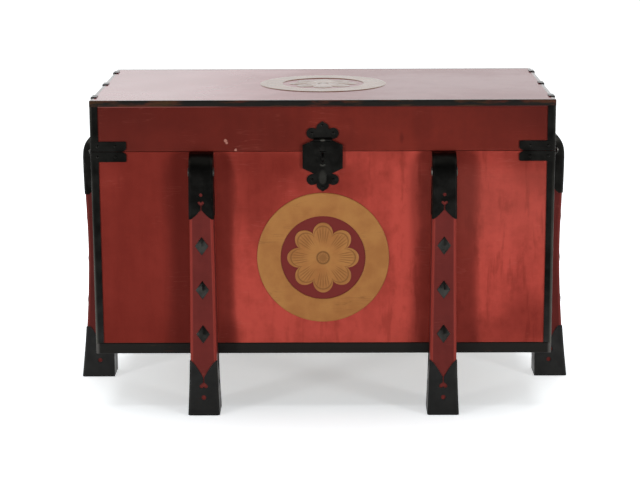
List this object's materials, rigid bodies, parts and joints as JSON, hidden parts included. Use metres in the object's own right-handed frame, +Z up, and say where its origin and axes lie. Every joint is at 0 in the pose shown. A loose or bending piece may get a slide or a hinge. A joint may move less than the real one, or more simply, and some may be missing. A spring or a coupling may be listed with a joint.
{
  "type": "armor chest",
  "caption": "Raised storage chest of lacquered boards with a hinged lid, black edge bindings, flared legs in iron caps and shoes, a swinging hasp and gilt relief medallions.",
  "frame": {"origin": "on the floor, under the middle of the box", "axes": "+X along the chest's length to the right as seen from the front, +Y from the front to the back, +Z up"},
  "size_m": [1.045, 0.631, 0.633],
  "materials": {
    "red_lacquer": "semi-gloss red lacquer over wood",
    "black_lacquer": "semi-gloss black lacquer over wood",
    "black_iron": "blackened forged iron, satin",
    "gold_lacquer": "gold lacquer over low relief, satin",
    "plain_wood": "bare wood, matte"
  },
  "bodies": {
    "chest": {"front_board": "red_lacquer", "back_board": "red_lacquer", "left_end_board": "red_lacquer", "right_end_board": "red_lacquer", "bottom_board": "plain_wood", "base_rail_front": "black_lacquer", "base_rail_back": "black_lacquer", "base_rail_left": "black_lacquer", "base_rail_right": "black_lacquer", "leg_front_left": "red_lacquer", "leg_front_right": "red_lacquer", "leg_right": "red_lacquer", "leg_back_right": "red_lacquer", "leg_back_left": "red_lacquer", "leg_left": "red_lacquer", "leg_cap_front_left": "black_iron", "leg_cap_front_right": "black_iron", "leg_cap_right": "black_iron", "leg_cap_back_right": "black_iron", "leg_cap_back_left": "black_iron", "leg_cap_left": "black_iron", "leg_shoe_front_left": "black_iron", "leg_shoe_front_right": "black_iron", "leg_shoe_right": "black_iron", "leg_shoe_back_right": "black_iron", "leg_shoe_back_left": "black_iron", "leg_shoe_left": "black_iron", "body_corner_iron_front_left": "black_iron", "body_corner_iron_front_right": "black_iron", "body_corner_iron_back_right": "black_iron", "body_corner_iron_back_left": "black_iron", "staple_plate": "black_iron", "hasp_staple": "black_iron", "front_medallion_ring": "gold_lacquer", "front_medallion_flower": "gold_lacquer", "hinge_body_leaf_left": "black_iron", "hinge_body_leaf_right": "black_iron", "hinge_pin_left": "black_iron", "hinge_pin_right": "black_iron"},
    "lid": {"lid_top_board": "red_lacquer", "lid_front_board": "red_lacquer", "lid_back_board": "red_lacquer", "lid_left_board": "red_lacquer", "lid_right_board": "red_lacquer", "lid_edge_binding_front": "black_lacquer", "lid_edge_binding_back": "black_lacquer", "lid_edge_binding_left": "black_lacquer", "lid_edge_binding_right": "black_lacquer", "lid_corner_iron_front_left": "black_iron", "lid_corner_iron_front_right": "black_iron", "lid_corner_iron_back_right": "black_iron", "lid_corner_iron_back_left": "black_iron", "hinge_lid_leaf_left": "black_iron", "hinge_lid_leaf_right": "black_iron", "hasp_plate": "black_iron", "hasp_pin": "black_iron", "lid_medallion_ring": "gold_lacquer", "lid_medallion_flower": "gold_lacquer"},
    "hasp": {"hasp_flap": "black_iron"}
  },
  "joints": [
    {"name": "lid_hinge", "type": "hinge", "parent": "chest", "child": "lid", "pos_m": [0, 0.2585, 0.5285], "axis": [-1, 0, 0], "range_deg": [0, 100]},
    {"name": "hasp_hinge", "type": "hinge", "parent": "lid", "child": "hasp", "pos_m": [0, -0.2575, 0.552], "axis": [-1, 0, 0], "range_deg": [0, 165]}
  ]
}
